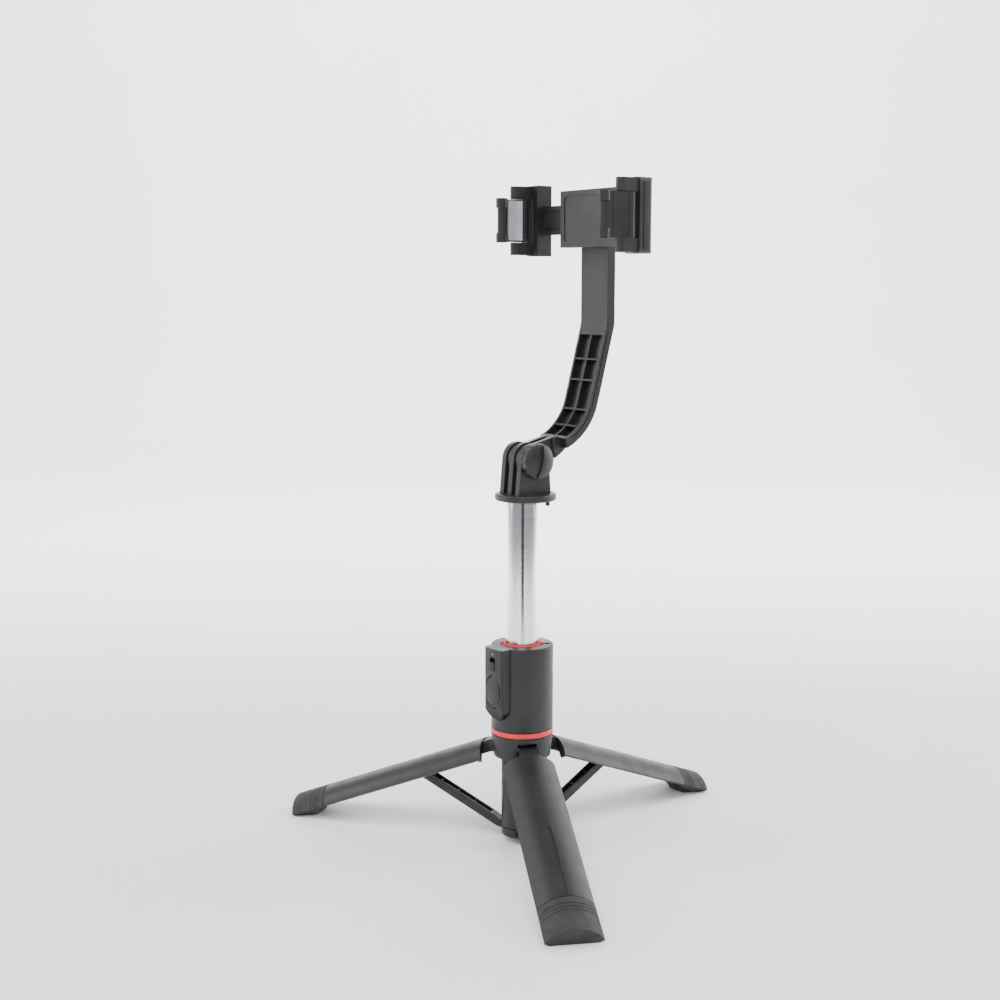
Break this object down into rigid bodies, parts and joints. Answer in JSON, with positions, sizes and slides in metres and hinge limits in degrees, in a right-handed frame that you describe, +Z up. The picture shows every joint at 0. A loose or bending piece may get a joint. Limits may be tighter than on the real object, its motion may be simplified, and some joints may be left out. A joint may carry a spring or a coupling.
{
  "type": "tripod selfie stick",
  "caption": "Pocket tripod selfie stick with folding shell legs, push-in remote, polished telescopic pole, tilting arm and sprung phone clamp",
  "frame": {"origin": "The point on the floor below the centre of the whole object's box, with the tripod standing on its three feet", "axes": "+Z is up. -Y is the side that the phone's screen and the remote face. +X is the side with the hinge knob"},
  "size_m": [0.2209, 0.2009, 0.3187],
  "materials": {
    "black_plastic": "satin",
    "soft_rubber": "matte",
    "red_plastic": "semi-gloss",
    "polished_steel": "polished",
    "plated_steel": "brushed",
    "circuit_board": "lacquered",
    "grey_pad": "matte"
  },
  "bodies": {
    "hub": {"hub_shell": "black_plastic", "hub_core": "black_plastic", "leg_carrier": "black_plastic", "red_band": "red_plastic", "top_bushing": "red_plastic", "leg_1_hinge_pin": "plated_steel", "leg_2_hinge_pin": "plated_steel", "leg_3_hinge_pin": "plated_steel"},
    "remote": {"remote_front_shell": "black_plastic", "remote_back_shell": "black_plastic", "remote_circuit_board": "circuit_board", "remote_coin_cell": "plated_steel", "remote_tact_switch": "plated_steel"},
    "shutter_button": {"shutter_button": "black_plastic"},
    "power_switch": {"power_switch": "black_plastic"},
    "leg_1": {"leg_1_shell": "black_plastic", "leg_1_foot_pad": "soft_rubber", "leg_1_strut_pin": "plated_steel"},
    "strut_1": {"strut_1": "black_plastic", "strut_1_lower_pin": "plated_steel"},
    "leg_2": {"leg_2_shell": "black_plastic", "leg_2_foot_pad": "soft_rubber", "leg_2_strut_pin": "plated_steel"},
    "strut_2": {"strut_2": "black_plastic", "strut_2_lower_pin": "plated_steel"},
    "leg_3": {"leg_3_shell": "black_plastic", "leg_3_foot_pad": "soft_rubber", "leg_3_strut_pin": "plated_steel"},
    "strut_3": {"strut_3": "black_plastic", "strut_3_lower_pin": "plated_steel"},
    "pole": {"column": "black_plastic", "column_end_cap": "black_plastic", "pole_tube_1": "polished_steel"},
    "tube_2": {"pole_tube_2": "polished_steel"},
    "tube_3": {"pole_tube_3": "polished_steel"},
    "tube_4": {"pole_tube_4": "polished_steel"},
    "tube_5": {"pole_tube_5": "polished_steel"},
    "tube_6": {"pole_tube_6": "polished_steel"},
    "head": {"head_base": "black_plastic", "head_stem": "plated_steel", "hinge_nut": "black_plastic"},
    "knob": {"clamp_knob": "black_plastic", "hinge_bolt": "plated_steel"},
    "arm": {"arm": "black_plastic"},
    "holder": {"holder_housing": "black_plastic", "holder_back_cover": "black_plastic", "holder_screw_1": "plated_steel", "holder_screw_2": "plated_steel", "holder_spring_1": "plated_steel", "holder_spring_2": "plated_steel", "right_jaw_pin": "plated_steel", "pivot_screw": "plated_steel", "pivot_washer": "plated_steel"},
    "carriage": {"carriage": "black_plastic", "left_jaw_pin": "plated_steel"},
    "right_jaw": {"right_jaw": "black_plastic", "right_jaw_pad": "grey_pad"},
    "left_jaw": {"left_jaw": "black_plastic", "left_jaw_pad": "grey_pad"}
  },
  "joints": [
    {"name": "remote_pull", "type": "slide", "parent": "hub", "child": "remote", "axis": [0, 0, 1], "range_m": [0, 0.036]},
    {"name": "shutter_press", "type": "slide", "parent": "remote", "child": "shutter_button", "axis": [-0.0698, 0.9976, 0], "range_m": [0, 0.0006], "stiffness_N_per_m": 1500},
    {"name": "power_slide", "type": "slide", "parent": "remote", "child": "power_switch", "axis": [0, 0, 1], "range_m": [0, 0.002]},
    {"name": "leg_1_fold", "type": "hinge", "parent": "hub", "child": "leg_1", "pos_m": [0.00739, -0.02766, 0.0491], "axis": [0.4384, 0.8988, 0], "range_deg": [0, 68.2]},
    {"name": "leg_2_fold", "type": "hinge", "parent": "hub", "child": "leg_2", "pos_m": [-0.00424, -0.01043, 0.0491], "axis": [-0.9976, -0.0698, 0], "range_deg": [0, 68.2]},
    {"name": "leg_3_fold", "type": "hinge", "parent": "hub", "child": "leg_3", "pos_m": [-0.01335, -0.02911, 0.0491], "axis": [0.5592, -0.829, 0], "range_deg": [0, 68.2]},
    {"name": "strut_1_fold", "type": "hinge", "parent": "leg_1", "child": "strut_1", "pos_m": [0.04708, -0.04702, 0.0303], "axis": [0.4384, 0.8988, 0], "range_deg": [-128.47, 0]},
    {"name": "strut_2_fold", "type": "hinge", "parent": "leg_2", "child": "strut_2", "pos_m": [-0.00732, 0.03363, 0.0303], "axis": [-0.9976, -0.0698, 0], "range_deg": [-128.47, 0]},
    {"name": "strut_3_fold", "type": "hinge", "parent": "leg_3", "child": "strut_3", "pos_m": [-0.04997, -0.05381, 0.0303], "axis": [0.5592, -0.829, 0], "range_deg": [-128.47, 0]},
    {"name": "column_link", "type": "hinge", "parent": "strut_1", "child": "pole", "pos_m": [0.00406, -0.02604, 0.006], "axis": [0.4384, 0.8988, 0], "range_deg": [0, 60.27]},
    {"name": "tube_2_slide", "type": "slide", "parent": "pole", "child": "tube_2", "axis": [0, 0, 1], "range_m": [0, 0.1]},
    {"name": "tube_3_slide", "type": "slide", "parent": "tube_2", "child": "tube_3", "axis": [0, 0, 1], "range_m": [0, 0.1]},
    {"name": "tube_4_slide", "type": "slide", "parent": "tube_3", "child": "tube_4", "axis": [0, 0, 1], "range_m": [0, 0.1]},
    {"name": "tube_5_slide", "type": "slide", "parent": "tube_4", "child": "tube_5", "axis": [0, 0, 1], "range_m": [0, 0.1]},
    {"name": "tube_6_slide", "type": "slide", "parent": "tube_5", "child": "tube_6", "axis": [0, 0, 1], "range_m": [0, 0.1]},
    {"name": "head_swivel", "type": "hinge", "parent": "tube_6", "child": "head", "pos_m": [-0.0034, -0.0224, 0.16], "axis": [0, 0, 1], "continuous": true},
    {"name": "knob_turn", "type": "hinge", "parent": "head", "child": "knob", "pos_m": [0.0076, -0.0206, 0.188], "axis": [1, 0, 0], "continuous": true},
    {"name": "arm_tilt", "type": "hinge", "parent": "head", "child": "arm", "pos_m": [-0.0034, -0.0206, 0.188], "axis": [1, 0, 0], "range_deg": [-45, 180]},
    {"name": "holder_turn", "type": "hinge", "parent": "arm", "child": "holder", "pos_m": [-0.0034, 0.0203, 0.3015], "axis": [0, 1, 0], "range_deg": [-60, 180]},
    {"name": "clamp_slide", "type": "slide", "parent": "holder", "child": "carriage", "axis": [1, 0, 0], "range_m": [-0.01, 0.016], "stiffness_N_per_m": 150, "deforming": ["holder_spring_1", "holder_spring_2"]},
    {"name": "right_jaw_fold", "type": "hinge", "parent": "holder", "child": "right_jaw", "pos_m": [0.0369, 0.0076, 0.3015], "axis": [0, 0, -1], "range_deg": [0, 90]},
    {"name": "left_jaw_fold", "type": "hinge", "parent": "carriage", "child": "left_jaw", "pos_m": [-0.0437, 0.0076, 0.3015], "axis": [0, 0, 1], "range_deg": [0, 90]}
  ],
  "couplings": [
    {"joint": "leg_2_fold", "follows": "leg_1_fold", "ratio": 1},
    {"joint": "leg_3_fold", "follows": "leg_1_fold", "ratio": 1},
    {"joint": "strut_1_fold", "follows": "leg_1_fold", "ratio": -1.8835},
    {"joint": "strut_2_fold", "follows": "leg_1_fold", "ratio": -1.8835},
    {"joint": "strut_3_fold", "follows": "leg_1_fold", "ratio": -1.8835},
    {"joint": "column_link", "follows": "leg_1_fold", "ratio": 0.88348}
  ]
}
